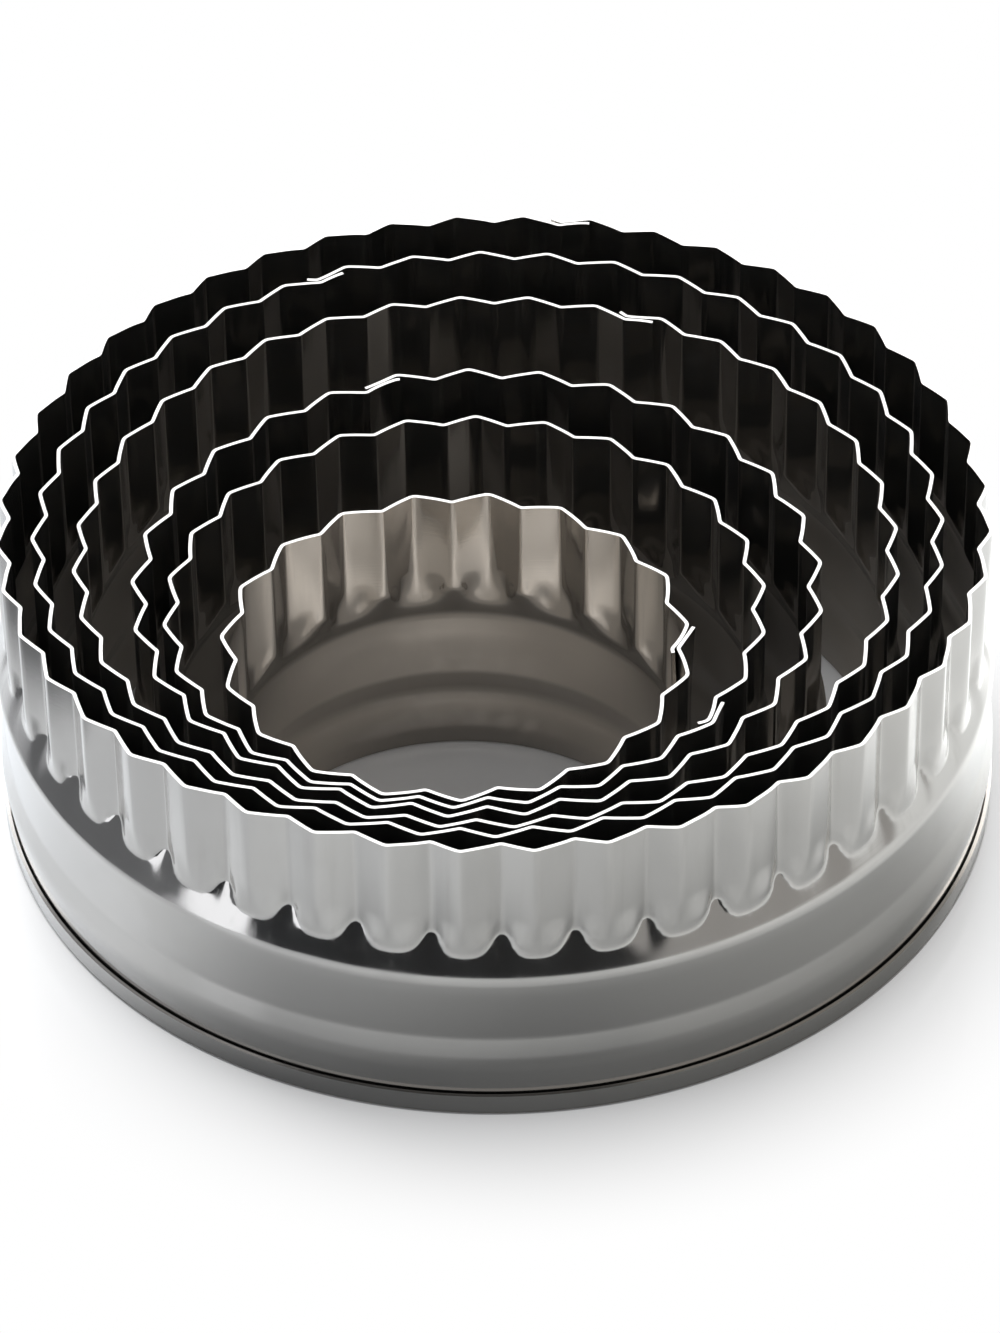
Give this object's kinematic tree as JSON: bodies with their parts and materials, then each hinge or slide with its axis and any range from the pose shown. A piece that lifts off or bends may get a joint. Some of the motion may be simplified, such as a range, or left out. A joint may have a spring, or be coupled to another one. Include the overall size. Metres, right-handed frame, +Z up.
{
  "type": "nesting fluted biscuit cutter set",
  "caption": "Nest of round fluted steel biscuit cutters of stepped sizes, each a thin ring with a zigzag cutting edge, a shoulder and a folded hem.",
  "frame": {"origin": "on the surface that the nest stands on, on the axis of the largest cutter", "axes": "+Z up, towards the cutting edges; the smaller cutters stand off centre towards -Y, which is the front; +X to the right seen from the front"},
  "size_m": [0.1006, 0.1006, 0.0333],
  "materials": {
    "polished_steel": "thin stainless steel sheet, rolled and pressed, bright with fine drawing lines round the skirt and a bare cut edge"
  },
  "bodies": {
    "smallest_cutter": {"smallest_cutter": "polished_steel"},
    "fifth_cutter": {"fifth_cutter": "polished_steel"},
    "fourth_cutter": {"fourth_cutter": "polished_steel"},
    "third_cutter": {"third_cutter": "polished_steel"},
    "second_cutter": {"second_cutter": "polished_steel"},
    "largest_cutter": {"largest_cutter": "polished_steel"}
  },
  "joints": [
    {"name": "fifth_lift", "type": "slide", "parent": "smallest_cutter", "child": "fifth_cutter", "axis": [0, 0, 1], "range_m": [0, 0.034]},
    {"name": "fourth_lift", "type": "slide", "parent": "fifth_cutter", "child": "fourth_cutter", "axis": [0, 0, 1], "range_m": [0, 0.034]},
    {"name": "third_lift", "type": "slide", "parent": "fourth_cutter", "child": "third_cutter", "axis": [0, 0, 1], "range_m": [0, 0.034]},
    {"name": "second_lift", "type": "slide", "parent": "third_cutter", "child": "second_cutter", "axis": [0, 0, 1], "range_m": [0, 0.034]},
    {"name": "largest_lift", "type": "slide", "parent": "second_cutter", "child": "largest_cutter", "axis": [0, 0, 1], "range_m": [0, 0.034]}
  ]
}
